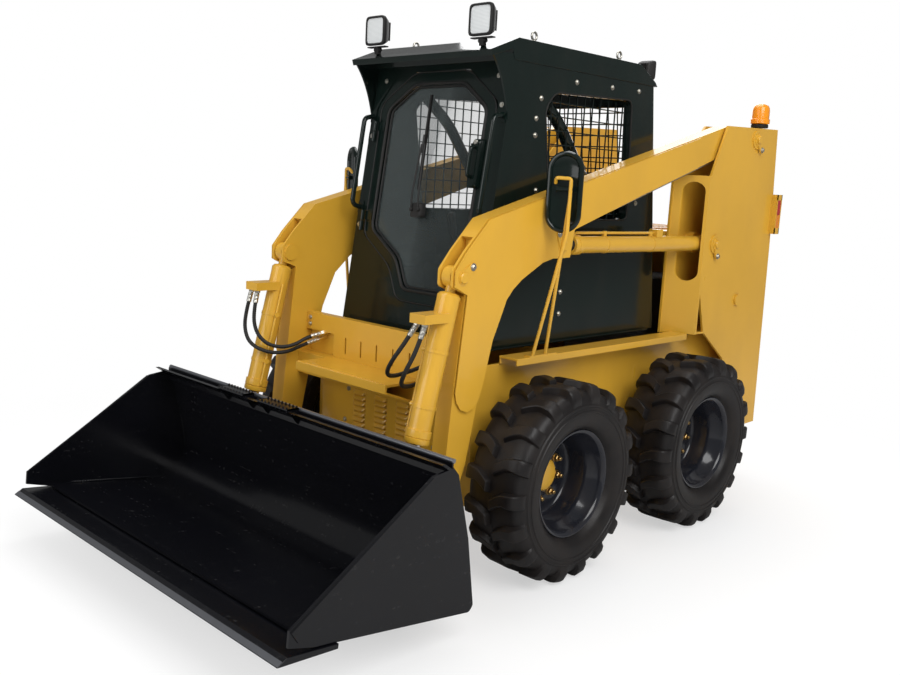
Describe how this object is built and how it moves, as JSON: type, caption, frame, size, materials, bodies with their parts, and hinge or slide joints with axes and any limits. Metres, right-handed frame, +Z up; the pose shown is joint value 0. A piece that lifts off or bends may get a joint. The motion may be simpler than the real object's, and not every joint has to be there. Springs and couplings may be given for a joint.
{
  "type": "skid-steer loader",
  "caption": "Skid-steer loader with a cab between two lift arms and a wide general purpose bucket.",
  "frame": {"origin": "on the ground under the middle of the whole length and width", "axes": "+X forward, +Y the machine's left, +Z up"},
  "size_m": [3.645, 1.91, 2.335],
  "materials": {
    "amber_lens": "gloss",
    "black_bucket_paint": "gloss",
    "black_cab_paint": "gloss",
    "black_hose": "satin",
    "black_wheel_paint": "gloss",
    "clear_glass": "gloss",
    "dark_cast_iron": "matte",
    "grey_fabric": "matte",
    "red_lens": "gloss",
    "rod_chrome": "polished",
    "tyre_rubber": "matte",
    "yellow_paint": "gloss",
    "zinc_steel": "satin"
  },
  "bodies": {
    "chassis": {"chassis_tub": "yellow_paint", "belly_panel": "yellow_paint", "fender_left": "yellow_paint", "fender_right": "yellow_paint", "tower_left": "yellow_paint", "tower_right": "yellow_paint", "rear_frame": "yellow_paint", "engine_block": "dark_cast_iron", "tail_lamps": "red_lens", "beacon": "amber_lens", "mirrors": "yellow_paint", "cab_shell": "black_cab_paint", "cab_roof": "black_cab_paint", "window_meshes": "black_cab_paint", "work_lamps": "black_cab_paint", "eye_bolts": "zinc_steel", "seat": "grey_fabric", "cab_floor": "black_cab_paint", "grab_handles": "black_cab_paint"},
    "boom": {"boom": "yellow_paint", "step_panel": "yellow_paint", "hose_right_outer": "black_hose", "hose_right_inner": "black_hose", "hose_left_outer": "black_hose", "hose_left_inner": "black_hose"},
    "bucket": {"coupler": "black_bucket_paint", "bucket": "black_bucket_paint", "cutting_edge": "black_bucket_paint"},
    "front_door": {"front_door": "black_cab_paint", "door_glass": "clear_glass", "wiper": "black_cab_paint"},
    "rear_door": {"rear_door": "yellow_paint"},
    "hood": {"engine_hood": "yellow_paint"},
    "lift_barrel_left": {"lift_barrel_left": "yellow_paint"},
    "lift_rod_left": {"lift_rod_left": "rod_chrome"},
    "tilt_barrel_left": {"tilt_barrel_left": "yellow_paint"},
    "tilt_rod_left": {"tilt_rod_left": "rod_chrome"},
    "lift_barrel_right": {"lift_barrel_right": "yellow_paint"},
    "lift_rod_right": {"lift_rod_right": "rod_chrome"},
    "tilt_barrel_right": {"tilt_barrel_right": "yellow_paint"},
    "tilt_rod_right": {"tilt_rod_right": "rod_chrome"},
    "wheel_front_left": {"tyre_front_left": "tyre_rubber", "rim_front_left": "black_wheel_paint", "hub_front_left": "yellow_paint"},
    "wheel_front_right": {"tyre_front_right": "tyre_rubber", "rim_front_right": "black_wheel_paint", "hub_front_right": "yellow_paint"},
    "wheel_rear_left": {"tyre_rear_left": "tyre_rubber", "rim_rear_left": "black_wheel_paint", "hub_rear_left": "yellow_paint"},
    "wheel_rear_right": {"tyre_rear_right": "tyre_rubber", "rim_rear_right": "black_wheel_paint", "hub_rear_right": "yellow_paint"}
  },
  "joints": [
    {"name": "boom_lift", "type": "hinge", "parent": "chassis", "child": "boom", "pos_m": [-1.488, 0, 1.918], "axis": [0, -1, 0], "range_deg": [-2.5, 55]},
    {"name": "bucket_tilt", "type": "hinge", "parent": "boom", "child": "bucket", "pos_m": [0.81, 0, 0.28], "axis": [0, 1, 0], "range_deg": [-18, 105]},
    {"name": "front_door_swing", "type": "hinge", "parent": "chassis", "child": "front_door", "pos_m": [0.39, -0.366, 1.6], "axis": [0.1425, 0, -0.9898], "range_deg": [0, 95]},
    {"name": "rear_door_swing", "type": "hinge", "parent": "chassis", "child": "rear_door", "pos_m": [-1.808, 0.432, 0.9], "axis": [0, 0, -1], "range_deg": [0, 100]},
    {"name": "hood_lift", "type": "hinge", "parent": "chassis", "child": "hood", "pos_m": [-0.95, 0, 1.435], "axis": [0, 1, 0], "range_deg": [0, 50]},
    {"name": "wheel_front_left_roll", "type": "hinge", "parent": "chassis", "child": "wheel_front_left", "pos_m": [0.25, 0.725, 0.42], "axis": [0, 1, 0], "continuous": true},
    {"name": "wheel_front_right_roll", "type": "hinge", "parent": "chassis", "child": "wheel_front_right", "pos_m": [0.25, -0.725, 0.42], "axis": [0, 1, 0], "continuous": true},
    {"name": "wheel_rear_left_roll", "type": "hinge", "parent": "chassis", "child": "wheel_rear_left", "pos_m": [-0.81, 0.725, 0.42], "axis": [0, 1, 0], "continuous": true},
    {"name": "wheel_rear_right_roll", "type": "hinge", "parent": "chassis", "child": "wheel_rear_right", "pos_m": [-0.81, -0.725, 0.42], "axis": [0, 1, 0], "continuous": true},
    {"name": "lift_barrel_left_turn", "type": "hinge", "parent": "chassis", "child": "lift_barrel_left", "pos_m": [-1.15, 0.537, 1.37], "axis": [0, -1, 0], "range_deg": [-3, 58]},
    {"name": "lift_rod_left_slide", "type": "slide", "parent": "lift_barrel_left", "child": "lift_rod_left", "axis": [1, 0, 0.004], "range_m": [-0.03, 0.62]},
    {"name": "tilt_barrel_left_turn", "type": "hinge", "parent": "boom", "child": "tilt_barrel_left", "pos_m": [0.723, 0.537, 1.262], "axis": [0, -1, 0], "range_deg": [-1, 3]},
    {"name": "tilt_rod_left_slide", "type": "slide", "parent": "tilt_barrel_left", "child": "tilt_rod_left", "axis": [0.2383, 0, -0.9712], "range_m": [-0.07, 0.4]},
    {"name": "lift_barrel_right_turn", "type": "hinge", "parent": "chassis", "child": "lift_barrel_right", "pos_m": [-1.15, -0.537, 1.37], "axis": [0, -1, 0], "range_deg": [-3, 58]},
    {"name": "lift_rod_right_slide", "type": "slide", "parent": "lift_barrel_right", "child": "lift_rod_right", "axis": [1, 0, 0.004], "range_m": [-0.03, 0.62]},
    {"name": "tilt_barrel_right_turn", "type": "hinge", "parent": "boom", "child": "tilt_barrel_right", "pos_m": [0.723, -0.537, 1.262], "axis": [0, -1, 0], "range_deg": [-1, 3]},
    {"name": "tilt_rod_right_slide", "type": "slide", "parent": "tilt_barrel_right", "child": "tilt_rod_right", "axis": [0.2383, 0, -0.9712], "range_m": [-0.07, 0.4]}
  ],
  "couplings": [
    {"joint": "lift_barrel_left_turn", "follows": "boom_lift", "ratio": 1.0229},
    {"joint": "lift_rod_left_slide", "follows": "boom_lift", "m_per_rad": 0.61842},
    {"joint": "tilt_barrel_left_turn", "follows": "bucket_tilt", "ratio": 0.02},
    {"joint": "tilt_rod_left_slide", "follows": "bucket_tilt", "m_per_rad": 0.20922},
    {"joint": "lift_barrel_right_turn", "follows": "boom_lift", "ratio": 1.0229},
    {"joint": "lift_rod_right_slide", "follows": "boom_lift", "m_per_rad": 0.61842},
    {"joint": "tilt_barrel_right_turn", "follows": "bucket_tilt", "ratio": 0.02},
    {"joint": "tilt_rod_right_slide", "follows": "bucket_tilt", "m_per_rad": 0.20922}
  ]
}
